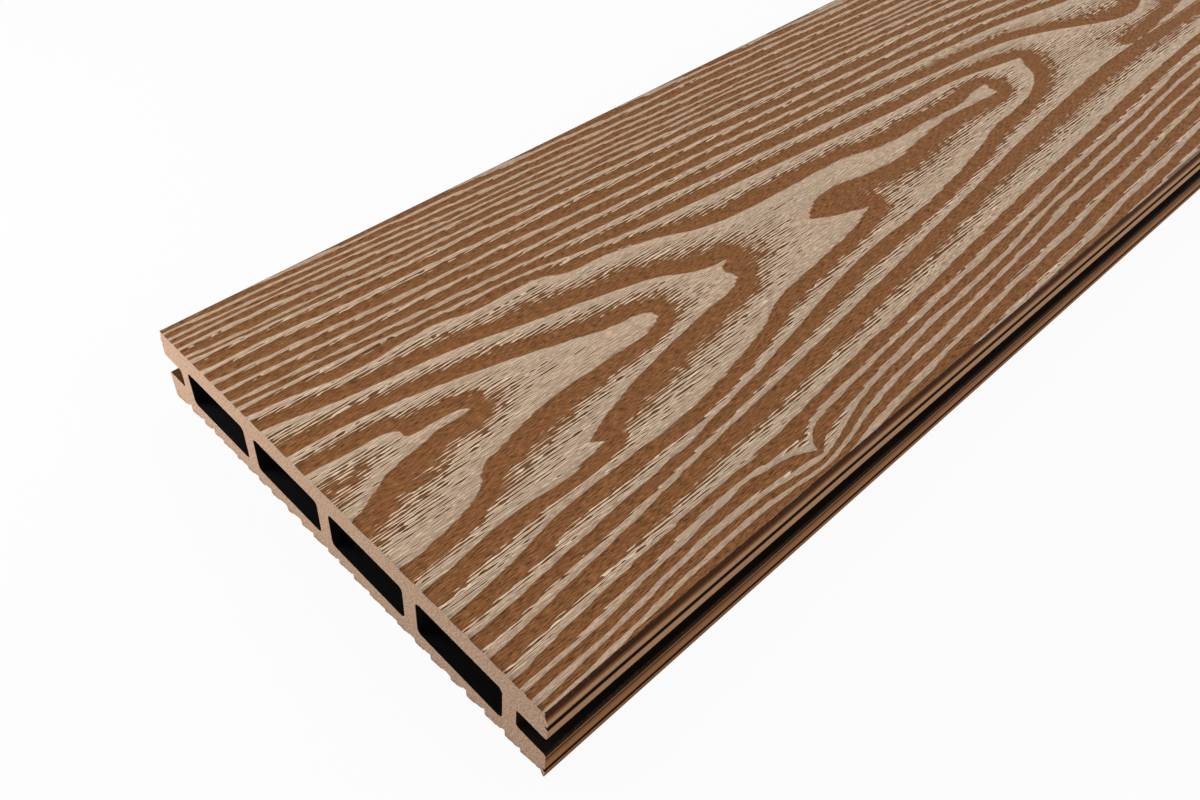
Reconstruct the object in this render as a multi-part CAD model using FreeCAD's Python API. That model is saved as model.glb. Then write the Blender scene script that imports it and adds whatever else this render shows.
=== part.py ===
"""Hollow wood-plastic decking board: one extruded piece with four chambers and a clip groove in each side.

The board lies flat. X runs along its length, Y across its width and Z up, in millimetres.
The origin is on the underside, at the middle of the length and the width.
"""

import FreeCAD
import Part
import math
import os

# Board
LENGTH = 2200.0
WIDTH = 146.0
THICKNESS = 24.0

# Chambers: the walls around them and between them
CHAMBER_COUNT = 4
TOP_WALL = 6.8
BOTTOM_WALL = 5.9
WEB = 4.4
OUTER_WEB = 4.0
CHAMBER_CORNER = 1.5

# Clip grooves, one in each side
GROOVE_DEPTH = 8.4
GROOVE_HEIGHT = 6.1
UPPER_LIP = 8.9
GROOVE_CORNER = 0.8
LIP_CORNER = 0.6

# Shaped upper edge: the walking face stops short of the lip, over a shadow line and a sloping bead
EDGE_SETBACK = 0.5
EDGE_UNDERCUT = 0.6
EDGE_STEP = 0.7
BEAD_DROP = 3.3
TOP_CORNER = 0.25
BEAD_CORNER = 0.6

# Fine lines, V-shaped in section, that run along the outside of the lips
LINE_WIDTH = 1.1
LINE_DEPTH = 0.9
UPPER_LINE_DROP = 4.6
LOWER_LINE_RISE = 2.7

# Corners of the underside: one side is rounded, the other keeps a crisp arris
ROUNDED_CORNER = 1.5
CRISP_CORNER = 0.4

HALF_WIDTH = WIDTH / 2
GROOVE_TOP = THICKNESS - UPPER_LIP
GROOVE_BOTTOM = GROOVE_TOP - GROOVE_HEIGHT


def tangent_points(before, corner, after, radius):
    """Where an arc of this radius leaves and meets the two straight runs at a corner, and its middle point."""
    to_before = (before - corner).normalize()
    to_after = (after - corner).normalize()
    half_angle = to_before.getAngle(to_after) / 2
    reach = radius / math.tan(half_angle)
    bisector = (to_before + to_after).normalize()
    middle = corner + bisector * (radius / math.sin(half_angle) - radius)
    return corner + to_before * reach, middle, corner + to_after * reach


def rounded_outline(corners):
    """A closed wire in the plane of the board's end, through (y, z, radius) corners."""
    points = [FreeCAD.Vector(-LENGTH / 2, y, z) for y, z, _ in corners]
    edges = []
    ends = []
    for i, (_, _, radius) in enumerate(corners):
        corner = points[i]
        if radius == 0:
            ends.append((corner, corner))
            continue
        start, middle, end = tangent_points(points[i - 1], corner, points[(i + 1) % len(points)], radius)
        ends.append((start, end))
        edges.append(Part.Arc(start, middle, end).toShape())
    for i, (_, end) in enumerate(ends):
        next_start = ends[(i + 1) % len(ends)][0]
        edges.append(Part.LineSegment(end, next_start).toShape())
    return Part.Wire(Part.__sortEdges__(edges))


def fine_line(height):
    """The three corners of a V-shaped line in the lip's face, from its upper edge down."""
    return [
        (HALF_WIDTH, height + LINE_WIDTH / 2, 0),
        (HALF_WIDTH - LINE_DEPTH, height, 0),
        (HALF_WIDTH, height - LINE_WIDTH / 2, 0),
    ]


def upper_lip():
    """Corners from the walking face down to the mouth of the clip groove."""
    top_edge = HALF_WIDTH - EDGE_SETBACK
    return [
        (top_edge, THICKNESS, TOP_CORNER),
        (top_edge - EDGE_UNDERCUT, THICKNESS - EDGE_STEP, 0),
        (HALF_WIDTH, THICKNESS - BEAD_DROP, BEAD_CORNER),
        *fine_line(THICKNESS - UPPER_LINE_DROP),
        (HALF_WIDTH, GROOVE_TOP, LIP_CORNER),
    ]


def clip_groove():
    """Corners at the back of the clip groove."""
    back = HALF_WIDTH - GROOVE_DEPTH
    return [
        (back, GROOVE_TOP, GROOVE_CORNER),
        (back, GROOVE_BOTTOM, GROOVE_CORNER),
    ]


def lower_lip(lined):
    """Corners from the groove down to the underside: crisp with a fine line, or plain with a rounded corner."""
    mouth = (HALF_WIDTH, GROOVE_BOTTOM, LIP_CORNER)
    if lined:
        return [mouth, *fine_line(LOWER_LINE_RISE), (HALF_WIDTH, 0, CRISP_CORNER)]
    return [mouth, (HALF_WIDTH, 0, ROUNDED_CORNER)]


def board_outline():
    """The outside of the section, with the lined side at -Y and the rounded side at +Y."""
    lined_side = [*upper_lip(), *clip_groove(), *lower_lip(lined=True)]
    rounded_side = [*upper_lip(), *clip_groove(), *lower_lip(lined=False)]
    mirrored = [(-y, z, radius) for y, z, radius in lined_side]
    return rounded_outline([*rounded_side, *reversed(mirrored)])


def chamber_outlines():
    """One rounded rectangle for each chamber, spaced evenly between the outer webs."""
    clear_width = WIDTH - 2 * (GROOVE_DEPTH + OUTER_WEB)
    chamber_width = (clear_width - (CHAMBER_COUNT - 1) * WEB) / CHAMBER_COUNT
    low = BOTTOM_WALL
    high = THICKNESS - TOP_WALL
    outlines = []
    for i in range(CHAMBER_COUNT):
        left = -clear_width / 2 + i * (chamber_width + WEB)
        right = left + chamber_width
        corners = [(left, low), (right, low), (right, high), (left, high)]
        outlines.append(rounded_outline([(y, z, CHAMBER_CORNER) for y, z in corners]))
    return outlines


def decking_board():
    """The board: its section drawn once and extruded over the whole length."""
    section = Part.Face(board_outline())
    for outline in chamber_outlines():
        section = section.cut(Part.Face(outline))
    return section.Faces[0].extrude(FreeCAD.Vector(LENGTH, 0, 0))


os.makedirs("parts", exist_ok=True)
board = decking_board()
board.exportStep("parts/decking_board.step")
print("decking_board valid", board.isValid(), "litres", round(board.Volume / 1e6, 4), board.BoundBox)
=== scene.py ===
"""The looks of a hollow wood-plastic decking board: embossed grain, sawn ends, dark chambers, studio light.

Lengths are in millimetres, and become metres when the mesh and the materials are made.
X runs along the board from its near end, Y across it and Z up.
"""

import math

import bmesh
import bpy
import numpy as np
from mathutils import Matrix, Vector
from mathutils.geometry import tessellate_polygon


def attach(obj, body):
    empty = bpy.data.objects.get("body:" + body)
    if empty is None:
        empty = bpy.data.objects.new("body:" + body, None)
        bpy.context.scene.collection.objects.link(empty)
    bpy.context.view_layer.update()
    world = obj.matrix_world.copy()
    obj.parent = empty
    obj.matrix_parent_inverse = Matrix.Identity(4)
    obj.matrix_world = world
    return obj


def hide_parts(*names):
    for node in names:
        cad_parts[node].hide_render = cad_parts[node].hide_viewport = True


# Millimetres in a metre
METRE = 1000.0

# Board section, as in the part's source
LENGTH = 2200.0
WIDTH = 146.0
THICKNESS = 24.0
CHAMBER_COUNT = 4
TOP_WALL = 6.8
BOTTOM_WALL = 5.9
WEB = 4.4
OUTER_WEB = 4.0
CHAMBER_CORNER = 1.5
GROOVE_DEPTH = 8.4
GROOVE_HEIGHT = 6.1
UPPER_LIP = 8.9
GROOVE_CORNER = 0.8
LIP_CORNER = 0.6
EDGE_SETBACK = 0.5
EDGE_UNDERCUT = 0.6
EDGE_STEP = 0.7
BEAD_DROP = 3.3
TOP_CORNER = 0.25
BEAD_CORNER = 0.6
LINE_WIDTH = 1.1
LINE_DEPTH = 0.9
UPPER_LINE_DROP = 4.6
LOWER_LINE_RISE = 2.7
ROUNDED_CORNER = 1.5
CRISP_CORNER = 0.4

HALF_WIDTH = WIDTH / 2
GROOVE_TOP = THICKNESS - UPPER_LIP
GROOVE_BOTTOM = GROOVE_TOP - GROOVE_HEIGHT
UPPER_LINE = THICKNESS - UPPER_LINE_DROP

# Ends of the board in the row frame, whose origin is at the middle of the length, in metres
FAR_END = (LENGTH / 2 / METRE, 0, 0)
NEAR_END = (-LENGTH / 2 / METRE, 0, 0)

# Steps of the mesh along the board: close together near the end that the picture shows, and wider beyond it
CLOSE_RUN = 408.0
CLOSE_STEP = 1.8
FAR_STEP = 8.0
SIDE_STEP = 40.0

# Steps of the mesh across the walking face, and in the arc of a rounded corner
TOP_COLUMN = 0.9
ARC_STEPS = 4

# How near two heights are to count as one, and how far inside a lip's corner the groove's surface starts
LEVEL_MARGIN = 0.01
GROOVE_MARGIN = 0.1

# Depth of the embossed grain, and the width along the edge over which it fades out
TOP_RELIEF = 0.4
RELIEF_FADE = 0.8

# Embossing across a ring: where the pale ridge starts to rise, how long it rises, and its steep end
RIDGE_START = 0.35
RIDGE_RISE = 0.4
RIDGE_END = 0.04

# Teeth across the underside: how far they stop short of the lower corners, and the ranges of their sizes
TEETH_START = 1.0
TEETH_END = 6.0
TOOTH_WIDTHS = (4.4, 7.2)
TOOTH_CRESTS = (0.6, 1.0)
UNDERSIDE_RELIEF = 2.4

# One tooth: places on its slope, the slope's curve, the run of its steep side, and its first and last phase
TOOTH_SHARES = (0.12, 0.25, 0.38, 0.5, 0.62, 0.74, 0.86)
TOOTH_CURVE = 1.3
TOOTH_STEEP = 0.15
FOOT_PHASE = 0.001
CREST_PHASE = 0.97

# Unevenness of the teeth along the board: crumbs, a sideways sway, and a slow swell
UNDERSIDE_CRUMB = 0.45
SWAY = 0.5
SWELL = 0.2
SWELL_RUN = 130.0

# Seeds of what is random: the upper and lower lines, the teeth, their crumbs and their sway
UPPER_SEED = 10
LOWER_SEED = 40
TOOTH_SEED = 7
CRUMB_SEED = 23
SWAY_SEED = 91

# Figure of the grain, which the embossing roller repeats three times along the board
REPEAT = LENGTH / 3
FIGURE_START = -0.532 * REPEAT
FIGURE_END = 280.0

# The straight grain is widest apart at the turn, and closest together at the pinch between two figures
TURN = -45.0
PINCH = 375.0
PINCH_REACH = 26.0
PINCH_SHARPNESS = 0.985

# Straight grain outside the loops: Y at the near end, Y at the end of the figure, and its sag at the pinch
UPPER_LINES = (
    (37.4, 12.6, 18.5), (41.4, 21.2, 6.0), (45.8, 26.4, 4.5), (51.6, 32.0, 3.0), (56.6, 38.4, 3.0),
    (58.8, 43.2, 2.0), (62.8, 46.0, 1.0), (65.6, 49.0, 0.0), (68.2, 51.8, 0.0), (71.0, 55.4, 0.0),
    (74.0, 59.6, 0.0), (77.0, 64.2, 0.0), (80.0, 68.0, 0.0), (83.0, 71.2, 0.0),
)
LOWER_LINES = (
    (-57.0, -28.4, 3.5), (-63.2, -42.4, 0.0), (-66.6, -48.2, 0.0), (-69.8, -52.0, 0.0), (-73.0, -56.0, 0.0),
    (-77.0, -61.0, 0.0), (-81.5, -66.8, 0.0), (-85.0, -71.4, 0.0),
)

# Slow wander along the board: waves in one figure, the range of their starts, and its reach on a line
WANDER_WAVES = (3, 5, 8, 13)
WANDER_STARTS = (0, 6.3)
LINE_WANDER = 0.4

# Pin knot that draws one lower line down to a point, steeply on one side, and bends its neighbours
KNOT_LINE = 2
KNOT_PLACE = 91.6
KNOT_DEPTH = 6.2
KNOT_BEFORE = 8.0
KNOT_AFTER = 3.5
KNOT_REACH = 13.0
KNOT_BENDS = (0.0, 0.5, 0.0, 4.4, 2.7, 1.2, 0.4, 0.0)

# Nested loops of the figure, innermost first, each from its far tip along the -Y arm and back on the +Y arm
LOOPS = (
    (
        (41.8, -3.6), (40.6, -4), (31, -3.9), (24, -5.1), (14, -6.8), (8, -9.4), (0, -12.4), (-25, -11),
        (-45, -6), (-25, 2), (0, 5.2), (12, 4.1), (23.2, 2.9), (24.6, 1.4), (24.2, -0.2), (28, -1.4),
        (31, -1.3), (40.8, -2.6),
    ),
    (
        (101.4, -9), (101, -11), (75, -13.4), (56, -14.4), (40, -17.4), (32, -19.4), (27, -24), (18, -27),
        (0, -29), (-50, -25), (-90, -15), (-115, -8), (-90, 2), (-50, 10), (0, 12.6), (23, 11), (56, 4),
        (87, -5),
    ),
    (
        (134.4, -7.4), (129, -10), (130, -14), (125, -16.4), (110, -18), (90, -21), (75, -24), (64, -27),
        (55, -30.4), (58.4, -32.4), (48, -34), (25, -34), (0, -36.4), (-60, -33), (-120, -20), (-175, -8),
        (-120, 9), (-60, 20), (0, 23.6), (20, 19.6), (50, 15.6), (76, 9.6), (102, 3.6), (114, 0), (123, -5),
    ),
    (
        (280.5, -2.8), (279, -9), (272, -9), (252, -7), (235, -8), (217, -10), (202, -9), (190, -6.4),
        (177, -6.4), (167, -11), (172, -14), (186, -19.2), (175, -22), (152, -25), (128, -28), (120, -31.4),
        (100, -36), (80, -39), (60, -39.4), (35, -40.4), (20, -43), (0, -45), (-60, -43), (-140, -31),
        (-200, -18), (-235, -8), (-200, 6), (-140, 19), (-60, 28), (0, 30), (30, 25.6), (58, 25.6),
        (64, 23.6), (90, 21.6), (96, 18.6), (110, 17), (130, 11.6), (138, 8), (152, 5), (182, 3),
        (204, 1.6), (217, -2), (242, -3.4), (262, -5), (272, -3.2),
    ),
    (
        (309, -2), (305, -5), (300, -11), (290, -16), (272, -19.4), (257, -20.4), (240, -24.2),
        (200, -29.8), (160, -32), (120, -38.6), (80, -44.6), (40, -48), (0, -51.2), (-60, -50),
        (-140, -42), (-220, -29), (-290, -26), (-340, -25.2), (-385, -23.4), (-345, -21.6), (-325, -18.4),
        (-300, -10), (-265, 4), (-220, 16), (-140, 29), (-60, 36), (0, 34), (40, 30.6), (80, 26.8),
        (120, 20.4), (160, 16), (200, 11.8), (240, 7.4), (272, 5.2), (290, 2),
    ),
)

# Steps between two points of a loop, and the cosine of a turn below which the loop stays sharp
CURVE_STEPS = 6
SHARP_TURN = -0.2

# Heart inside the first loop: the width of its ring, and its lowest phase
HEART_WIDTH = 13.0
HEART_PHASE = -0.42

# Brown band of a ring: its largest share of the ring, its width and growth with the ring, and its limit
BAND_SHARE = 0.67
BAND_START = 2.6
BAND_GROWTH = 0.12
BAND_LIMIT = 4.8

# Narrowest ring that is counted, so that no width is zero
LEAST_RING = 1e-6

# Spread: 0 in a ring up to the narrow width, 1 in one wider by the range, and plain off the walking face
NARROW_RING = 3.2
RING_RANGE = 7.0
PLAIN_SPREAD = 0.3

# Noises of the grain: cells to a millimetre along X, Y and Z, levels of detail, and roughness
WOBBLE_NOISE = ((0.12, 0.7, 0.2), 1.0, 0.5)
WANDER_NOISE = ((0.03, 0.2, 0.1), 2.0, 0.5)
DRIFT_NOISE = ((0.015, 0.12, 0.1), 1.0, 0.5)
UNEVEN_NOISE = ((0.05, 0.8, 0.1), 1.0, 0.5)
STROKE_NOISE = ((0.22, 2.0, 0.8), 1.0, 0.5)
FIBRE_NOISE = ((0.4, 4.4, 0.8), 2.0, 0.7)
SPECK_NOISE = ((1.6, 3.0, 1.6), 2.0, 0.7)
CLOUD_NOISE = ((0.02, 0.06, 0.05), 2.0, 0.5)

# Noises of the planed sides, the sawn ends and the hollows, given in the same way
STREAK_NOISE = ((0.03, 2.2, 2.2), 4.0, 0.65)
SIDE_SPECK_NOISE = ((1.4, 2.2, 2.2), 3.0, 0.75)
FLOUR_NOISE = ((2.0, 2.0, 2.0), 3.0, 0.8)
FLAKE_NOISE = ((0.5, 0.9, 0.9), 2.0, 0.5)
HOLLOW_NOISE = ((0.05, 1.5, 1.5), 3.0, 0.6)

# Wander of a band's edges, in rings: reach, and how it fades with spread (from, to, factor at each)
WOBBLE_REACH = 0.09
WOBBLE_FADE = (0.0, 0.6, 1.0, 0.35)
WANDER_REACH = 0.4
WANDER_FADE = (0.0, 0.5, 1.0, 0.0)

# Rows of fine strokes: rows to a millimetre, a stroke's length, and how far a row strays sideways, in rows
STROKE_ROWS = 1.1
STROKE_LENGTH = 3.0
DRIFT_REACH = 0.9
UNEVEN_REACH = 0.5

# Noise along a row of strokes: how far apart two rows are in it, levels of detail, and roughness
LANE_APART = 5.7
LANE_DETAIL = 0.0
LANE_ROUGHNESS = 0.5

# Strength of a stroke: its curve and weight across the row, and spans of its two noises with their weights
ROW_CURVE = 1.4
ROW_WEIGHT = 0.56
LANE_SPAN = (0.36, 0.64, 0.0, 0.24)
STROKE_SPAN = (0.34, 0.66, 0.0, 0.2)

# Ragged side of a band: where in a ring it starts and ends, by spread, and its rise in two straight runs
RAGGED_STARTS = (0.0, 0.3, 0.48, 0.46)
RAGGED_ENDS = (0.0, 0.6, 0.58, 1.04)
RAGGED_FIRST = (0.0, 0.25, -0.02, 0.3)
RAGGED_REST = (0.25, 1.0, 0.0, 0.62)

# Pale ridges: the soft edge of a stroke, the crisp side of a band, and a painted highlight in cream along a
# stroke
PALE_SPAN = (-0.03, 0.03)
CRISP_SPAN = (0.0, 0.02, 1.0, 0.0)
HIGHLIGHT_RISE = (0.01, 0.05)
HIGHLIGHT_FALL = (0.12, 0.24, 1.0, 0.0)
HIGHLIGHT_WEIGHT = (0.0, 0.4, 0.05, 0.75)

# Tones of the grain, as they look on a screen
BAND_DARK = (78, 45, 20)
BAND_LIGHT = (150, 101, 61)
BAND_SPECK = (70, 40, 18)
STROKE_BROWN = (72, 43, 22)
RIDGE_DARK = (146, 120, 97)
RIDGE_LIGHT = (196, 169, 145)
RIDGE_GREY = (158, 142, 120)
RIDGE_SPECK = (126, 100, 76)
# Painted highlight beside the strokes
HIGHLIGHT_CREAM = (230, 208, 180)
# Painted shade along the walking face's edges
RIM_SHADE_BROWN = (52, 29, 12)

# Spans that mix those tones: of the fibres, the specks, the strokes and the clouds
FIBRE_SPAN = (0.36, 0.64)
BAND_SPECK_SPAN = (0.34, 0.46, 0.2, 0.0)
STROKE_BROWN_SPAN = (0.2, 0.6, 0.0, 0.7)
RIDGE_GREY_SPAN = (0.4, 0.65, 0.0, 0.35)
RIDGE_SPECK_SPAN = (0.34, 0.46, 0.35, 0.0)

# Painted shade along the walking face's edges, as a dark rim: how far from the side it starts and is full,
# and its wander over the specks
RIM_START = 1.2
RIM_FULL = 0.6
RIM_WANDER = 0.4
RIM_SPAN = (0.3, 0.7)

# Fine height of the grain: shares of the ridges and the fibres, its roughness span, bump depth and strength
RIDGE_HEIGHT = 0.8
FIBRE_HEIGHT = 0.35
GRAIN_ROUGHNESS = (0.0, 1.15, 0.95, 0.78)
GRAIN_BUMP = (0.5, 0.7)

# Tones of the planed sides, with the black and the deep tone for painted shade and the gold for a painted
# highlight
TAN = (184, 138, 99)
AMBER = (160, 109, 66)
BROWN = (112, 72, 42)
HIGHLIGHT_GOLD = (152, 98, 52)
SHADE_DEEP = (38, 16, 4)
SHADE_BLACK = (12, 6, 2)

# Tones up a side, each with its height above the underside, a fine line, a groove's lip or the walking
# face; the black in the fine lines and at the groove, and the dark below the groove and under the walking
# face's edge, are painted shade, and the gold line along the lower lip is a painted highlight
FOOT_TONES = ((0.0, BROWN),)
LOWER_LINE_SHADE_TONES = ((-0.8, AMBER), (-0.6, SHADE_BLACK), (0.6, SHADE_BLACK), (0.8, AMBER))
# Painted shade below the groove, with a painted highlight in gold along the lower lip's edge
LOWER_LIP_SHADE_HIGHLIGHT_TONES = (
    (-4.0, AMBER), (-2.2, BROWN), (-1.8, SHADE_BLACK), (-1.4, SHADE_BLACK), (-1.1, HIGHLIGHT_GOLD), (-0.8, HIGHLIGHT_GOLD), (-0.6, SHADE_BLACK),
)
UPPER_LIP_SHADE_TONES = ((0.0, SHADE_BLACK), (0.2, BROWN), (0.4, TAN))
UPPER_LINE_SHADE_TONES = ((-1.1, TAN), (-0.9, SHADE_BLACK), (0.9, SHADE_BLACK), (1.1, TAN))
# Painted shade under the walking face's edge
EDGE_SHADE_TONES = ((-2.7, TAN), (-2.2, BROWN), (-1.6, SHADE_DEEP), (0.0, SHADE_DEEP))

# Planed sides: spans of the streaks and the specks, roughness span, bump depth and strength
STREAK_SPAN = (0.45, 0.7, 0.0, 0.35)
SIDE_SPECK_SPAN = (0.5, 0.75, 0.0, 0.5)
SIDE_ROUGHNESS = (0.3, 0.7, 0.75, 0.95)
SIDE_BUMP = (0.15, 0.5)

# Sawn ends: tones, their spans, the brown along the lower edge, roughness span, bump depth and strength
FLOUR_DARK = (150, 112, 85)
FLOUR_LIGHT = (212, 183, 158)
FLAKE_BROWN = (150, 106, 76)
FLOUR_SPAN = (0.36, 0.64)
FLAKE_SPAN = (0.5, 0.7, 0.0, 0.35)
FOOT_WANDER = (0.3, 0.7, -1.0, 1.0)
FOOT_SPAN = (0.4, 1.8, 0.5, 0.0)
SAWN_ROUGHNESS = (0.3, 0.7, 0.85, 0.98)
SAWN_BUMP = (0.4, 0.6)

# Hollows, painted in dark tones as shade: darkest and lightest tone of each, and spans of the streaks for
# tone and roughness
CHAMBER_SHADE_TONES = ((1, 1, 1), (4, 3, 2))
GROOVE_SHADE_TONES = ((6, 3, 1), (14, 8, 4))
SHELF_SHADE_TONES = ((58, 32, 12), (96, 60, 30))
HOLLOW_SPAN = (0.3, 0.7)
HOLLOW_ROUGHNESS = (0.3, 0.7, 0.9, 1.0)

# Weak gloss of the composite
SHEEN = 0.12

# Curve of a screen's tones: full tone, end and slope of its straight start, and the power curve above that
SCREEN_FULL = 255
SCREEN_KNEE = 0.04045
SCREEN_SLOPE = 12.92
SCREEN_OFFSET = 0.055
SCREEN_POWER = 2.4

# Floor: its size and how far it lies under the board, in metres, its tone and its roughness
FLOOR_SIZE = 12
FLOOR_DROP = 0.0005
FLOOR_GREY = (0.5, 0.5, 0.5, 1)
FLOOR_ROUGHNESS = 0.9

# Share of plain white in the floor as the camera sees it; the rest keeps the shadow
FLOOR_WHITE = 0.95

# Soft light from all round: its colour and strength
WORLD_WHITE = (1, 1, 1, 1)
WORLD_LIGHT = 0.32

# Soft lamps: name, place, what it points at and size, in metres, and power in watts
LAMPS = (
    ("key", (0.4, 0.9, 1.8), (-0.4, 0, 0), 1.6, 41),
    ("fill", (0.2, -1.9, 0.9), (-0.6, 0, 0), 1.6, 24),
    ("end_light", (-1.3, 0.3, 0.1), NEAR_END, 0.2, 1.75),
    ("back_light", (2.6, 0.5, 0.9), FAR_END, 1.2, 16),
)

# Camera: the photograph's frame, focal length and axis in pixels, and its place in the board's frame
FRAME_WIDTH = 1200
FRAME_HEIGHT = 800
FOCAL_PIXELS = 1015.6
AXIS_COLUMN = 470.9
AXIS_ROW = 380.7
CAMERA_PLACE = (-68.91, -134.52, 196.05)
CAMERA_FORWARD = (0.4683, 0.5526, -0.6894)
CAMERA_RIGHT = (0.7531, -0.6577, -0.0157)

# Width of the camera's sensor in millimetres, and the nearest that it sees in metres
SENSOR = 36.0
CAMERA_CLIP = 0.01

# Surfaces of the board, in the order of their materials; dark, groove and shelf are painted in dark tones
# as shade
MATERIALS = ("grain", "lined_skin", "plain_skin", "sawn", "dark", "groove", "shelf")


def rounded(corners):
    """Points of an open or closed run of (y, z, radius) corners, with each corner's arc in short steps."""
    points = []
    for i, (y, z, radius) in enumerate(corners):
        corner = Vector((y, z))
        if radius == 0:
            points.append(corner)
            continue
        before = (Vector(corners[i - 1][:2]) - corner).normalized()
        after = (Vector(corners[(i + 1) % len(corners)][:2]) - corner).normalized()
        half = before.angle(after) / 2
        centre = corner + (before + after).normalized() * radius / math.sin(half)
        start = corner + before * radius / math.tan(half) - centre
        end = corner + after * radius / math.tan(half) - centre
        turn = start.angle_signed(end)
        for k in range(ARC_STEPS + 1):
            spin = Matrix.Rotation(-turn * k / ARC_STEPS, 2)
            points.append(centre + spin @ start)
    return [(p.x, p.y) for p in points]


def fine_line(height):
    """Corners of a V-shaped line in the lip's face, from its upper edge down."""
    return [
        (HALF_WIDTH, height + LINE_WIDTH / 2, 0),
        (HALF_WIDTH - LINE_DEPTH, height, 0),
        (HALF_WIDTH, height - LINE_WIDTH / 2, 0),
    ]


def side_profile(lined):
    """Points down the +Y side, from the walking face to the underside."""
    top_edge = HALF_WIDTH - EDGE_SETBACK
    back = HALF_WIDTH - GROOVE_DEPTH
    corners = [
        (0, THICKNESS, 0),
        (top_edge, THICKNESS, TOP_CORNER),
        (top_edge - EDGE_UNDERCUT, THICKNESS - EDGE_STEP, 0),
        (HALF_WIDTH, THICKNESS - BEAD_DROP, BEAD_CORNER),
        *fine_line(UPPER_LINE),
        (HALF_WIDTH, GROOVE_TOP, LIP_CORNER),
        (back, GROOVE_TOP, GROOVE_CORNER),
        (back, GROOVE_BOTTOM, GROOVE_CORNER),
        (HALF_WIDTH, GROOVE_BOTTOM, LIP_CORNER),
    ]
    if lined:
        corners += [*fine_line(LOWER_LINE_RISE), (HALF_WIDTH, 0, CRISP_CORNER)]
    else:
        corners += [(HALF_WIDTH, 0, ROUNDED_CORNER)]
    corners.append((0, 0, 0))
    return rounded(corners)[1:-1]


def chamber_profile(index):
    """Points round one chamber."""
    clear = WIDTH - 2 * (GROOVE_DEPTH + OUTER_WEB)
    width = (clear - (CHAMBER_COUNT - 1) * WEB) / CHAMBER_COUNT
    left = -clear / 2 + index * (width + WEB)
    low = BOTTOM_WALL
    high = THICKNESS - TOP_WALL
    corners = [(left, low), (left + width, low), (left + width, high), (left, high)]
    return rounded([(y, z, CHAMBER_CORNER) for y, z in corners])


def smooth_loop(knots):
    """A closed curve through the knots, smooth except where it turns back on itself."""
    p = np.array(knots, float)
    ahead = np.roll(p, -1, 0) - p
    behind = p - np.roll(p, 1, 0)
    long_ahead = np.linalg.norm(ahead, axis=1, keepdims=True)
    long_behind = np.linalg.norm(behind, axis=1, keepdims=True)
    heading = ahead / long_ahead + behind / long_behind
    turning = (ahead * behind).sum(1, keepdims=True) / (long_ahead * long_behind)
    heading = np.where(turning < SHARP_TURN, 0, heading / 2)
    curve = []
    for i in range(len(p)):
        j = (i + 1) % len(p)
        for s in np.arange(CURVE_STEPS) / CURVE_STEPS:
            bend = s * s * (3 - 2 * s)
            leave = s * (1 - s) ** 2 * long_ahead[i] * heading[i]
            arrive = s * s * (1 - s) * long_ahead[i] * heading[j]
            curve.append(p[i] + (p[j] - p[i]) * bend + leave - arrive)
    return np.array(curve)


def distance_outside(curve, x, y):
    """Distance of each point from a closed curve, negative inside it."""
    nearest = np.full(x.shape, np.inf)
    inside = np.zeros(x.shape, bool)
    for a, b in zip(curve, np.roll(curve, -1, 0)):
        run = b - a
        s = np.clip(((x - a[0]) * run[0] + (y - a[1]) * run[1]) / (run @ run), 0, 1)
        nearest = np.minimum(nearest, np.hypot(x - a[0] - s * run[0], y - a[1] - s * run[1]))
        crosses = (a[1] > y) != (b[1] > y)
        if run[1] != 0:
            inside ^= crosses & (x < a[0] + (y - a[1]) * run[0] / run[1])
    return np.where(inside, -nearest, nearest)


def swing(x):
    """How far the straight grain leans in across the figure: near 0 at the turn, near 1 at the pinch."""
    rise = PINCH - TURN
    past = (x - TURN) % REPEAT
    share = np.where(past < rise, past / rise, (REPEAT - past) / (REPEAT - rise))
    return 0.5 + np.arcsin(PINCH_SHARPNESS * np.sin(math.pi * (share - 0.5))) / math.pi


def waver(x, seed, reach):
    """A slow seeded wander along the board that repeats with the figure."""
    rng = np.random.default_rng(seed)
    total = np.zeros_like(x)
    for turns in WANDER_WAVES:
        size = rng.normal()
        start = rng.uniform(*WANDER_STARTS)
        total += size * np.sin(2 * math.pi * turns * x / REPEAT + start) / math.sqrt(turns)
    return reach * total


def line_height(line, x, seed):
    """Y of one line of the straight grain, with its sag at the pinch."""
    near, far, sag = line
    lean = (swing(x) - swing(0.0)) / (swing(FIGURE_END) - swing(0.0))
    off_pinch = (x - PINCH + REPEAT / 2) % REPEAT - REPEAT / 2
    height = near + (far - near) * lean + waver(x, seed, LINE_WANDER)
    return height - sag * np.exp(-0.5 * (off_pinch / PINCH_REACH) ** 2)


def knot_pull(index, x):
    """How far the pin knot draws one of the lower lines down."""
    off = x - KNOT_PLACE
    if index == KNOT_LINE:
        return KNOT_DEPTH * np.exp(-np.abs(off) / np.where(off < 0, KNOT_BEFORE, KNOT_AFTER))
    return KNOT_BENDS[index] * np.exp(-0.5 * (off / KNOT_REACH) ** 2)


def place_in_ring(past, left):
    """Place in a ring, from 0 to 1, and the ring's width, from a point's distances to the ring's two edges.

    The brown band takes up the first half of the ring's places, however wide it is.
    """
    past = np.maximum(past, 0)
    left = np.maximum(left, 0)
    width = np.maximum(past + left, LEAST_RING)
    band = np.minimum(BAND_SHARE * width, BAND_START + BAND_GROWTH * width)
    band = np.minimum(band, BAND_LIMIT) / width
    share = past / width
    in_band = 0.5 * share / band
    past_band = 0.5 + 0.5 * (share - band) / (1 - band)
    return np.where(share < band, in_band, past_band), width


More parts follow.
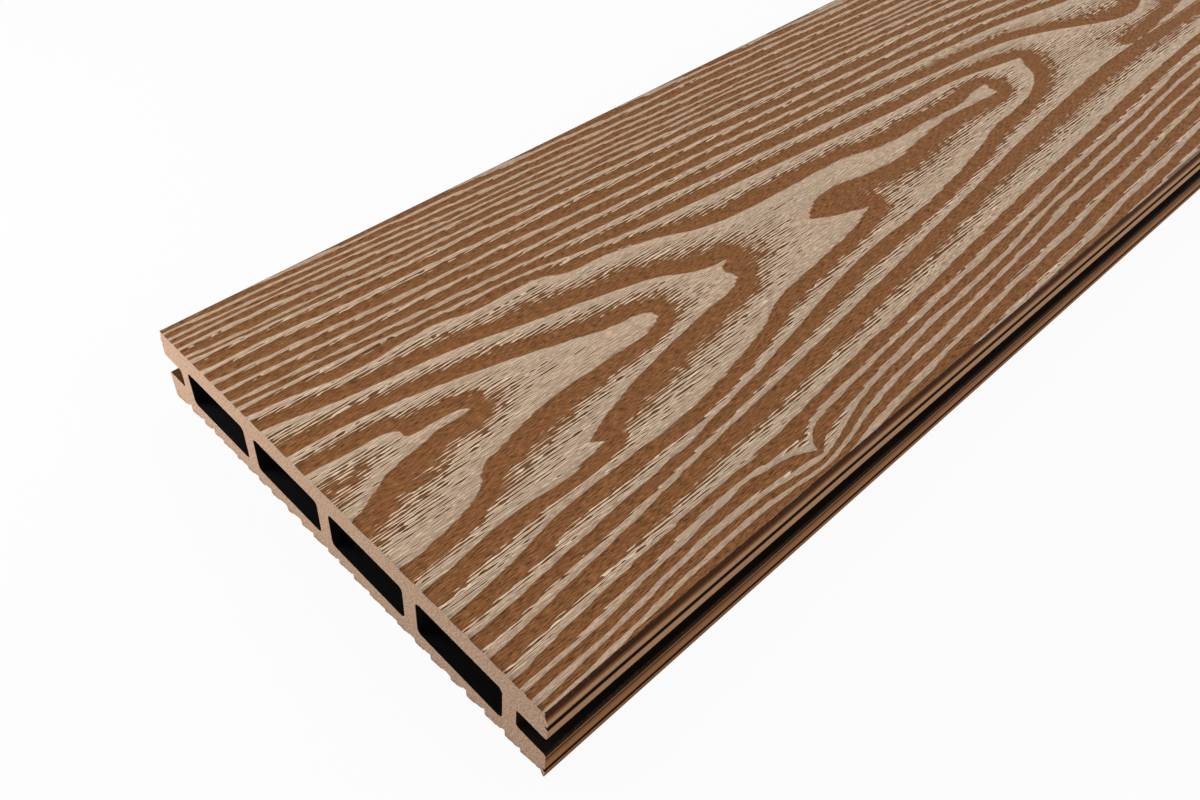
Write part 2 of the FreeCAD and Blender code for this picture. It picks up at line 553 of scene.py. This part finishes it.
def ring_phase(x, y):
    """Ring number of each point of the walking face, rising outwards, and its spread, from 0 to 1.

    The brown band runs from a whole number to 0.5 past it.
    """
    x = (x - FIGURE_START) % REPEAT + FIGURE_START
    loops = [distance_outside(smooth_loop(knots), x, y) for knots in LOOPS]
    for shift in (-REPEAT, REPEAT):
        loops[-1] = np.minimum(loops[-1], distance_outside(smooth_loop(LOOPS[-1]), x + shift, y))
    upper = [line_height(line, x, UPPER_SEED + i) - y for i, line in enumerate(UPPER_LINES)]
    lower = []
    for i, line in enumerate(LOWER_LINES):
        lower.append(y - line_height(line, x, LOWER_SEED + i) + knot_pull(i, x))
    phase = np.full(x.shape, -1.0)
    spread = np.ones(x.shape)

    def fill(where, ring, past, left):
        """Sets one ring's points, given how far each is past its inner edge and from its outer edge."""
        part, width = place_in_ring(past, left)
        phase[where] = (ring + part)[where]
        spread[where] = np.clip((width - NARROW_RING) / RING_RANGE, 0, 1)[where]

    heart = loops[0] < 0
    phase[heart] = np.maximum(loops[0] / HEART_WIDTH, HEART_PHASE)[heart]
    for i in range(len(loops) - 1):
        fill((loops[i] >= 0) & (loops[i + 1] < 0), i, loops[i], -loops[i + 1])
    outer = len(loops) - 1
    between = (loops[outer] >= 0) & (upper[0] >= 0) & (lower[0] >= 0)
    fill(between, outer, loops[outer], np.minimum(upper[0], lower[0]))
    for family in (upper, lower):
        for i in range(len(family) - 1):
            fill((family[i] < 0) & (family[i + 1] >= 0), outer + 1 + i, -family[i], family[i + 1])
    return phase, spread


def relief(phase):
    """Height of the embossing, from 0 in a brown band's floor to 1 on a pale ridge."""
    part = phase % 1
    rise = np.clip((part - RIDGE_START) / RIDGE_RISE, 0, 1)
    drop = np.clip((1 - part) / RIDGE_END, 0, 1)
    return rise * rise * (3 - 2 * rise) * drop


def stations(start, end, step):
    """Places along the board from start to end, about a step apart."""
    return np.linspace(start, end, round((end - start) / step) + 1)


class Skin:
    """Vertices, faces, materials, ring phases and spreads of the closed mesh as it grows."""

    def __init__(self):
        self.points = []
        self.phases = []
        self.spreads = []
        self.faces = []
        self.kinds = []

    def add(self, points, phases=None, spreads=None):
        """Adds points (x, y, z) and returns their numbers."""
        first = len(self.points)
        self.points.extend(map(tuple, points))
        self.phases.extend([0.0] * len(points) if phases is None else phases)
        self.spreads.extend([PLAIN_SPREAD] * len(points) if spreads is None else spreads)
        return list(range(first, len(self.points)))

    def face(self, numbers, kind):
        """Adds one face, unless two of its corners are the same vertex."""
        if len(set(numbers)) == len(numbers):
            self.faces.append(numbers)
            self.kinds.append(MATERIALS.index(kind))

    def strip(self, left, right, kind):
        """Joins two rows of the same length with quads."""
        for i in range(len(left) - 1):
            self.face((left[i], right[i], right[i + 1], left[i + 1]), kind)

    def stitch(self, left, right, kind):
        """Joins two rows that run side by side but have different numbers of points."""
        i = j = 0
        while i < len(left) - 1 or j < len(right) - 1:
            left_next = self.points[left[i + 1]][0] if i < len(left) - 1 else math.inf
            right_next = self.points[right[j + 1]][0] if j < len(right) - 1 else math.inf
            if left_next <= right_next:
                self.face((left[i], right[j], left[i + 1]), kind)
                i += 1
            else:
                self.face((left[i], right[j], right[j + 1]), kind)
                j += 1


def add_top(skin, top_edge):
    """Adds the walking face with its relief, and returns its rows from the +Y edge to the -Y edge."""
    columns = np.linspace(top_edge, -top_edge, round(2 * top_edge / TOP_COLUMN) + 1)
    near = stations(0, CLOSE_RUN, CLOSE_STEP)
    far = stations(CLOSE_RUN, LENGTH, FAR_STEP)
    x, y = np.meshgrid(np.concatenate([near, far[1:]]), columns)
    phase, spread = ring_phase(x, y)
    fade = np.clip((top_edge - np.abs(y)) / RELIEF_FADE, 0, 1)
    z = THICKNESS - TOP_RELIEF * fade * (1 - relief(phase))
    grid = np.stack([x, y, z], -1)
    rows = [skin.add(*row) for row in zip(grid, phase, spread)]
    for left, right in zip(rows, rows[1:]):
        skin.strip(left, right, "grain")
    return rows


def add_side_rows(skin, profile):
    """Adds a row of points along the board for each point of a side after its first, and returns them."""
    along = stations(0, LENGTH, SIDE_STEP)
    return [skin.add([(x, y, z) for x in along]) for y, z in profile[1:]]


def surface_kind(before, after):
    """The surface between two points of a side: planed skin, the groove's wall or floor, or a fine line."""
    plain = before[0] > 0
    depth = HALF_WIDTH - min(abs(before[0]), abs(after[0]))
    height = (before[1] + after[1]) / 2
    at_groove = GROOVE_BOTTOM - LEVEL_MARGIN < height < GROOVE_TOP + LEVEL_MARGIN
    # The groove's wall and floor take dark materials: painted shade
    if at_groove and depth > LIP_CORNER + GROOVE_MARGIN:
        return "shelf" if plain and height < GROOVE_BOTTOM + LEVEL_MARGIN else "groove"
    # A fine line's faces take the near-black dark material: painted shade
    for line in (UPPER_LINE, LOWER_LINE_RISE):
        if abs(height - line) < LINE_WIDTH / 2 and depth > LINE_DEPTH / 2:
            return "dark"
    return "plain_skin" if plain else "lined_skin"


def underside_teeth():
    """Across the underside: (y, height of the tooth, phase) from the +Y edge to the -Y edge."""
    rng = np.random.default_rng(TOOTH_SEED)
    columns = []
    y = HALF_WIDTH - ROUNDED_CORNER - TEETH_START
    ring = 0
    while y > -HALF_WIDTH + CRISP_CORNER + TEETH_END:
        width = rng.uniform(*TOOTH_WIDTHS)
        crest = rng.uniform(*TOOTH_CRESTS)
        columns.append((y, 0.0, ring + FOOT_PHASE))
        for share in TOOTH_SHARES:
            columns.append((y - share * width, crest * share ** TOOTH_CURVE, ring + share))
        columns.append((y - width + TOOTH_STEEP, crest, ring + CREST_PHASE))
        y -= width
        ring += 1
    return columns


def add_underside_rows(skin):
    """Adds the rows of the toothed underside, and returns them from the +Y edge to the -Y edge."""
    along = stations(0, LENGTH, SIDE_STEP)
    drift = waver(along, SWAY_SEED, SWAY)
    rng = np.random.default_rng(CRUMB_SEED)
    rows = []
    for y, tooth, ring in underside_teeth():
        sway = drift * max(0.0, 1 - (y / HALF_WIDTH) ** 2)
        swell = 1 - SWELL + SWELL * np.sin(along / SWELL_RUN + y)
        crumb = rng.uniform(0, UNDERSIDE_CRUMB, len(along))
        points = np.stack([along, y + sway, UNDERSIDE_RELIEF * tooth * swell + crumb], 1)
        rows.append(skin.add(points, [ring] * len(along)))
    return rows


def add_chamber(skin, index):
    """Adds the walls of one chamber, and returns its rows."""
    rows = [skin.add([(0, *p), (LENGTH, *p)]) for p in chamber_profile(index)]
    # The chamber walls take the near-black dark material: painted shade
    for i in range(len(rows)):
        skin.strip(rows[i], rows[i - 1], "dark")
    return rows


def add_end(skin, loops, facing):
    """Closes one end between its outline and the chambers' mouths, facing +X or -X."""
    flat = [[Vector((*skin.points[n][1:], 0)) for n in loop] for loop in loops]
    order = [n for loop in loops for n in loop]
    for triangle in tessellate_polygon(flat):
        corners = [order[n] for n in triangle]
        a, b, c = (np.array(skin.points[n])[1:] for n in corners)
        turn = np.cross(b - a, c - a)
        skin.face(tuple(corners if turn * facing > 0 else corners[::-1]), "sawn")


def board_mesh():
    """The whole board as one closed mesh."""
    skin = Skin()
    rounded_side = side_profile(lined=False)
    lined_side = [(-y, z) for y, z in side_profile(lined=True)]
    top = add_top(skin, rounded_side[0][0])

    plus_rows = add_side_rows(skin, rounded_side)
    minus_rows = add_side_rows(skin, lined_side)
    skin.stitch(plus_rows[0], top[0], "plain_skin")
    for i in range(len(plus_rows) - 1):
        skin.strip(plus_rows[i + 1], plus_rows[i], surface_kind(rounded_side[i + 1], rounded_side[i + 2]))
    skin.stitch(top[-1], minus_rows[0], "lined_skin")
    for i in range(len(minus_rows) - 1):
        skin.strip(minus_rows[i], minus_rows[i + 1], surface_kind(lined_side[i + 1], lined_side[i + 2]))

    under_rows = add_underside_rows(skin)
    rows = [plus_rows[-1], *under_rows, minus_rows[-1]]
    for left, right in zip(rows[1:], rows):
        skin.strip(left, right, "grain")

    chambers = [add_chamber(skin, index) for index in range(CHAMBER_COUNT)]
    outline = top + minus_rows + under_rows[::-1] + plus_rows[::-1]
    for end, facing in ((0, -1), (-1, 1)):
        loops = [[row[end] for row in loop] for loop in (outline, *chambers)]
        add_end(skin, loops, facing)
    return skin


def even_ends(mesh):
    """Turns the edges inside the sawn ends, so that their triangles are well shaped."""
    made = bmesh.new()
    made.from_mesh(mesh)
    sawn = MATERIALS.index("sawn")
    ends = [f for f in made.faces if f.material_index == sawn]
    inner = [e for e in made.edges if all(f.material_index == sawn for f in e.link_faces)]
    bmesh.ops.beautify_fill(made, faces=ends, edges=inner)
    made.to_mesh(mesh)
    made.free()


def make_board():
    """The board's mesh object, in metres, in the row frame."""
    skin = board_mesh()
    place = np.array(skin.points) / METRE + np.array(NEAR_END)
    mesh = bpy.data.meshes.new("board_skin")
    mesh.from_pydata(place.tolist(), [], skin.faces)
    for name, values in (("ring", skin.phases), ("spread", skin.spreads)):
        mesh.attributes.new(name, "FLOAT", "POINT").data.foreach_set("value", np.array(values, np.float32))
    mesh.polygons.foreach_set("material_index", np.array(skin.kinds, np.int32))
    mesh.polygons.foreach_set("use_smooth", np.array(skin.kinds) == MATERIALS.index("grain"))
    even_ends(mesh)
    mesh.validate()
    mesh.update()
    board = bpy.data.objects.new("board", mesh)
    bpy.context.collection.objects.link(board)
    return board


class Nodes:
    """A small helper for building the node tree of a material or the world."""

    def __init__(self, owner):
        owner.use_nodes = True
        self.owner = owner
        self.tree = owner.node_tree

    def node(self, kind, **settings):
        """Adds a node with these settings."""
        made = self.tree.nodes.new(kind)
        for name, value in settings.items():
            setattr(made, name, value)
        return made

    def set(self, socket, value):
        """Links a socket to another node's output, or gives it a plain value."""
        if isinstance(value, bpy.types.NodeSocket):
            self.tree.links.new(value, socket)
        else:
            socket.default_value = value

    def seen(self):
        """1 for what the camera sees, straight on or mirrored, and 0 for light that falls on the board."""
        rays = self.node("ShaderNodeLightPath").outputs
        mirrored = self.math("MAXIMUM", rays["Is Glossy Ray"], rays["Is Transmission Ray"])
        return self.math("MAXIMUM", rays["Is Camera Ray"], mirrored)

    def attribute(self, name):
        """A value that the mesh keeps for each of its points."""
        return self.node("ShaderNodeAttribute", attribute_name=name).outputs["Fac"]

    def place(self):
        """The surface's place in the board's frame, in metres."""
        return self.node("ShaderNodeTexCoord").outputs["Object"]

    def axes(self):
        """The surface's place along each axis, in metres."""
        made = self.node("ShaderNodeSeparateXYZ")
        self.set(made.inputs[0], self.place())
        return made.outputs

    def math(self, operation, a, b=0.0):
        """The result of an operation on one or two values."""
        made = self.node("ShaderNodeMath", operation=operation)
        self.set(made.inputs[0], a)
        self.set(made.inputs[1], b)
        return made.outputs[0]

    def scaled(self, cells):
        """The surface's place, counted in cells to a millimetre along each axis."""
        made = self.node("ShaderNodeVectorMath", operation="MULTIPLY")
        self.set(made.inputs[0], self.place())
        made.inputs[1].default_value = [METRE * count for count in cells]
        return made.outputs[0]

    def noise_at(self, place, detail, roughness):
        """Noise from 0 to 1 at a place, with cells of about one unit."""
        made = self.node("ShaderNodeTexNoise")
        self.set(made.inputs["Vector"], place)
        made.inputs["Scale"].default_value = 1.0
        made.inputs["Detail"].default_value = detail
        made.inputs["Roughness"].default_value = roughness
        return made.outputs["Fac"]

    def noise(self, cells, detail, roughness):
        """Noise from 0 to 1 over the surface, with this many cells to a millimetre along each axis."""
        return self.noise_at(self.scaled(cells), detail, roughness)

    def stray(self, noise, reach):
        """Noise over the surface from -reach to reach."""
        return self.span(self.noise(*noise), 0, 1, -reach, reach)

    def span(self, value, low, high, to_low=0.0, to_high=1.0, smooth=False):
        """Changes a value from one range to another, and holds it at the range's ends."""
        made = self.node("ShaderNodeMapRange", interpolation_type="SMOOTHSTEP" if smooth else "LINEAR")
        self.set(made.inputs["Value"], value)
        self.set(made.inputs["From Min"], low)
        self.set(made.inputs["From Max"], high)
        self.set(made.inputs["To Min"], to_low)
        self.set(made.inputs["To Max"], to_high)
        return made.outputs["Result"]

    def mix(self, share, a, b):
        """A mix of two colours, with this share of the second."""
        made = self.node("ShaderNodeMix", data_type="RGBA")
        self.set(made.inputs["Factor"], share)
        self.set(made.inputs["A"], a)
        self.set(made.inputs["B"], b)
        return made.outputs["Result"]

    def ramp(self, value, stops):
        """Colour that changes with a value, through (place, colour) stops."""
        made = self.node("ShaderNodeValToRGB")
        self.set(made.inputs["Fac"], value)
        elements = made.color_ramp.elements
        elements[0].position, elements[0].color = stops[0]
        elements[1].position, elements[1].color = stops[-1]
        for place, tint in stops[1:-1]:
            elements.new(place).color = tint
        return made.outputs["Color"]

    def bump(self, height, distance, strength):
        """The surface's normal, tilted by a height that stands for this distance in millimetres."""
        made = self.node("ShaderNodeBump")
        made.inputs["Distance"].default_value = distance / METRE
        made.inputs["Strength"].default_value = strength
        self.set(made.inputs["Height"], height)
        return made.outputs["Normal"]

    def finish(self, tint, roughness, normal=None):
        """Gives the material's shader its colour, roughness and normal, and returns the material."""
        shader = self.tree.nodes["Principled BSDF"]
        self.set(shader.inputs["Base Color"], tint)
        self.set(shader.inputs["Roughness"], roughness)
        shader.inputs["Specular IOR Level"].default_value = SHEEN
        if normal is not None:
            self.set(shader.inputs["Normal"], normal)
        return self.owner


def colour(tone):
    """A tone as it looks on a screen, as the linear colour that a shader takes."""
    parts = []
    for value in tone:
        s = value / SCREEN_FULL
        curved = ((s + SCREEN_OFFSET) / (1 + SCREEN_OFFSET)) ** SCREEN_POWER
        parts.append(s / SCREEN_SLOPE if s <= SCREEN_KNEE else curved)
    return (*parts, 1.0)


def ring_part(n, spread):
    """Place in a ring, from 0 at a band's crisp side to 1, with the band's edges wandering a little."""
    wobble = n.math("MULTIPLY", n.stray(WOBBLE_NOISE, WOBBLE_REACH), n.span(spread, *WOBBLE_FADE))
    wander = n.math("MULTIPLY", n.stray(WANDER_NOISE, WANDER_REACH), n.span(spread, *WANDER_FADE))
    return n.math("FRACT", n.math("ADD", n.attribute("ring"), n.math("ADD", wobble, wander)))


def stroke_strength(n, axes):
    """Strength of the fine strokes, in uneven rows along the board, that break up a band's ragged side."""
    stray = n.math("ADD", n.stray(DRIFT_NOISE, DRIFT_REACH), n.stray(UNEVEN_NOISE, UNEVEN_REACH))
    row = n.math("ADD", n.math("MULTIPLY", axes["Y"], METRE * STROKE_ROWS), stray)
    middle = n.math("POWER", n.math("MULTIPLY", n.math("PINGPONG", row, 0.5), 2.0), ROW_CURVE)
    lane = n.node("ShaderNodeCombineXYZ")
    n.set(lane.inputs["X"], n.math("MULTIPLY", axes["X"], METRE / STROKE_LENGTH))
    n.set(lane.inputs["Y"], n.math("MULTIPLY", n.math("FLOOR", row), LANE_APART))
    along = n.noise_at(lane.outputs["Vector"], LANE_DETAIL, LANE_ROUGHNESS)
    dash = n.math("ADD", n.span(along, *LANE_SPAN), n.math("MULTIPLY", middle, ROW_WEIGHT))
    return n.math("ADD", dash, n.span(n.noise(*STROKE_NOISE), *STROKE_SPAN))


def grain_material():
    """Embossed grain: recessed brown bands, broken into strokes on one side, and pale brushed ridges, with
    a painted highlight beside the strokes and painted shade along the edges.
    """
    n = Nodes(bpy.data.materials.new("embossed_grain"))
    spread = n.attribute("spread")
    axes = n.axes()
    part = ring_part(n, spread)
    ragged = n.span(part, n.span(spread, *RAGGED_STARTS), n.span(spread, *RAGGED_ENDS))
    ragged = n.math("ADD", n.span(ragged, *RAGGED_FIRST), n.span(ragged, *RAGGED_REST))
    clear = n.math("SUBTRACT", ragged, stroke_strength(n, axes))
    pale = n.math("MAXIMUM", n.span(clear, *PALE_SPAN, smooth=True), n.span(part, *CRISP_SPAN))
    # Painted highlight: cream along the pale side of each stroke, where the relief would catch the light
    crest = n.math("MULTIPLY", n.span(clear, *HIGHLIGHT_RISE), n.span(clear, *HIGHLIGHT_FALL))
    crest = n.math("MULTIPLY", crest, n.span(spread, *HIGHLIGHT_WEIGHT))

    fibre = n.noise(*FIBRE_NOISE)
    speckle = n.noise(*SPECK_NOISE)
    cloud = n.noise(*CLOUD_NOISE)
    brown = n.mix(n.span(fibre, *FIBRE_SPAN), colour(BAND_DARK), colour(BAND_LIGHT))
    brown = n.mix(n.span(speckle, *BAND_SPECK_SPAN), brown, colour(BAND_SPECK))
    brown = n.mix(n.span(ragged, *STROKE_BROWN_SPAN), brown, colour(STROKE_BROWN))
    light = n.mix(n.span(fibre, *FIBRE_SPAN), colour(RIDGE_DARK), colour(RIDGE_LIGHT))
    light = n.mix(n.span(cloud, *RIDGE_GREY_SPAN), light, colour(RIDGE_GREY))
    light = n.mix(n.span(speckle, *RIDGE_SPECK_SPAN), light, colour(RIDGE_SPECK))
    light = n.mix(crest, light, colour(HIGHLIGHT_CREAM))
    surface = n.mix(pale, brown, light)

    # Painted shade: a dark band along each edge of the walking face, where its shadow line falls
    stray = n.span(speckle, *RIM_SPAN, -RIM_WANDER / METRE, RIM_WANDER / METRE)
    aside = n.math("ADD", n.math("ABSOLUTE", axes["Y"]), stray)
    rim_shade = n.span(aside, (HALF_WIDTH - RIM_START) / METRE, (HALF_WIDTH - RIM_FULL) / METRE)
    surface = n.mix(rim_shade, surface, colour(RIM_SHADE_BROWN))
    height = n.math("MULTIPLY", pale, RIDGE_HEIGHT)
    height = n.math("ADD", height, n.math("MULTIPLY", fibre, FIBRE_HEIGHT))
    return n.finish(surface, n.span(height, *GRAIN_ROUGHNESS), n.bump(height, *GRAIN_BUMP))


def side_tones(lined):
    """(height, tone) stops up a side: painted shade, black in the fine lines, dark at the groove and under
    the edge, and a painted highlight in gold along the lower lip.
    """
    levels = [(0.0, FOOT_TONES)]
    if lined:
        levels.append((LOWER_LINE_RISE, LOWER_LINE_SHADE_TONES))
    levels += [
        (GROOVE_BOTTOM, LOWER_LIP_SHADE_HIGHLIGHT_TONES),
        (GROOVE_TOP, UPPER_LIP_SHADE_TONES),
        (UPPER_LINE, UPPER_LINE_SHADE_TONES),
        (THICKNESS, EDGE_SHADE_TONES),
    ]
    return [(level + above, tone) for level, tones in levels for above, tone in tones]


def skin_material(name, lined):
    """Planed side skin: tan, with long fine streaks from the extruder, and painted shade under each edge,
    in the fine lines and at the groove, with a painted highlight along the lower lip.
    """
    n = Nodes(bpy.data.materials.new(name))
    level = n.math("MULTIPLY", n.axes()["Z"], METRE / THICKNESS)
    shade = n.ramp(level, [(height / THICKNESS, colour(tone)) for height, tone in side_tones(lined)])
    streak = n.noise(*STREAK_NOISE)
    speckle = n.noise(*SIDE_SPECK_NOISE)
    tint = n.mix(n.span(streak, *STREAK_SPAN), shade, colour(BROWN))
    tint = n.mix(n.span(speckle, *SIDE_SPECK_SPAN), tint, colour(BROWN))
    return n.finish(tint, n.span(streak, *SIDE_ROUGHNESS), n.bump(speckle, *SIDE_BUMP))


def sawn_material():
    """Sawn end: pale flour and darker flakes, finely speckled, and browner along its lower edge."""
    n = Nodes(bpy.data.materials.new("sawn_end"))
    speckle = n.noise(*FLOUR_NOISE)
    flake = n.noise(*FLAKE_NOISE)
    tint = n.mix(n.span(speckle, *FLOUR_SPAN), colour(FLOUR_DARK), colour(FLOUR_LIGHT))
    tint = n.mix(n.span(flake, *FLAKE_SPAN), tint, colour(FLAKE_BROWN))
    height = n.math("ADD", n.math("MULTIPLY", n.axes()["Z"], METRE), n.span(speckle, *FOOT_WANDER))
    tint = n.mix(n.span(height, *FOOT_SPAN), tint, colour(BROWN))
    return n.finish(tint, n.span(speckle, *SAWN_ROUGHNESS), n.bump(speckle, *SAWN_BUMP))


def painted_shade_material(name, tones):
    """A hollow's unplaned composite, painted in dark tones as shade, with faint streaks between two tones.
    """
    n = Nodes(bpy.data.materials.new(name))
    streak = n.noise(*HOLLOW_NOISE)
    low, high = map(colour, tones)
    return n.finish(n.mix(n.span(streak, *HOLLOW_SPAN), low, high), n.span(streak, *HOLLOW_ROUGHNESS))


def add_floor():
    """A plain pale floor that keeps a faint shadow."""
    bpy.ops.mesh.primitive_plane_add(size=FLOOR_SIZE, location=(0, 0, -FLOOR_DROP))
    floor = bpy.context.object
    floor.name = "floor"
    n = Nodes(bpy.data.materials.new("pale_floor"))
    floor.data.materials.append(n.finish(FLOOR_GREY, FLOOR_ROUGHNESS))
    blend = n.node("ShaderNodeMixShader")
    n.set(blend.inputs["Fac"], n.math("MULTIPLY", n.seen(), FLOOR_WHITE))
    n.set(blend.inputs[1], n.tree.nodes["Principled BSDF"].outputs["BSDF"])
    n.set(blend.inputs[2], n.node("ShaderNodeEmission").outputs["Emission"])
    n.set(n.tree.nodes["Material Output"].inputs["Surface"], blend.outputs["Shader"])


def add_surround():
    """A surround that looks white, and lights the board softly."""
    n = Nodes(bpy.data.worlds.new("studio"))
    bpy.context.scene.world = n.owner
    back = n.tree.nodes["Background"]
    back.inputs["Color"].default_value = WORLD_WHITE
    n.set(back.inputs["Strength"], n.span(n.seen(), 0, 1, WORLD_LIGHT, 1.0))


def add_lamp(name, place, aim, size, power):
    """A soft square lamp that the camera doesn't see."""
    data = bpy.data.lights.new(name, "AREA")
    data.shape = "SQUARE"
    data.size = size
    data.energy = power
    made = bpy.data.objects.new(name, data)
    made.location = place
    made.rotation_mode = "QUATERNION"
    made.rotation_quaternion = (Vector(aim) - Vector(place)).to_track_quat("-Z", "Y")
    made.visible_camera = False
    bpy.context.collection.objects.link(made)


def add_camera():
    """A camera where the photograph was taken from."""
    data = bpy.data.cameras.new("camera")
    data.sensor_width = SENSOR
    data.lens = FOCAL_PIXELS / FRAME_WIDTH * SENSOR
    data.shift_x = (FRAME_WIDTH / 2 - AXIS_COLUMN) / FRAME_WIDTH
    data.shift_y = (AXIS_ROW - FRAME_HEIGHT / 2) / FRAME_WIDTH
    data.clip_start = CAMERA_CLIP
    made = bpy.data.objects.new("camera", data)
    forward = Vector(CAMERA_FORWARD).normalized()
    right = Vector(CAMERA_RIGHT)
    right = (right - forward * right.dot(forward)).normalized()
    turn = Matrix((right, right.cross(forward), -forward)).transposed()
    place = Vector(CAMERA_PLACE) / METRE + Vector(NEAR_END)
    made.matrix_world = Matrix.Translation(place) @ turn.to_4x4()
    bpy.context.collection.objects.link(made)
    bpy.context.scene.camera = made


bpy.context.scene.view_settings.view_transform = "Standard"
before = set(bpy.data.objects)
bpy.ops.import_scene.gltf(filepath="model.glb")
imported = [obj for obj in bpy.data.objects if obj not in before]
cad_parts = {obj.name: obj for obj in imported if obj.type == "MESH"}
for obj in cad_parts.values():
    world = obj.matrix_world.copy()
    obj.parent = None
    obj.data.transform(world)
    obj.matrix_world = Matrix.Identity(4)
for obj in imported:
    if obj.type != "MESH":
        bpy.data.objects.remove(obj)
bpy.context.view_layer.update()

board = make_board()
for material in (
    grain_material(),
    skin_material("lined_skin", lined=True),
    skin_material("plain_skin", lined=False),
    sawn_material(),
    painted_shade_material("chamber_wall_shade", CHAMBER_SHADE_TONES),
    painted_shade_material("groove_wall_shade", GROOVE_SHADE_TONES),
    painted_shade_material("groove_shelf_shade", SHELF_SHADE_TONES),
):
    board.data.materials.append(material)
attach(board, "root")
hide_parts("decking_board")

add_floor()
add_surround()
for lamp in LAMPS:
    add_lamp(*lamp)
add_camera()
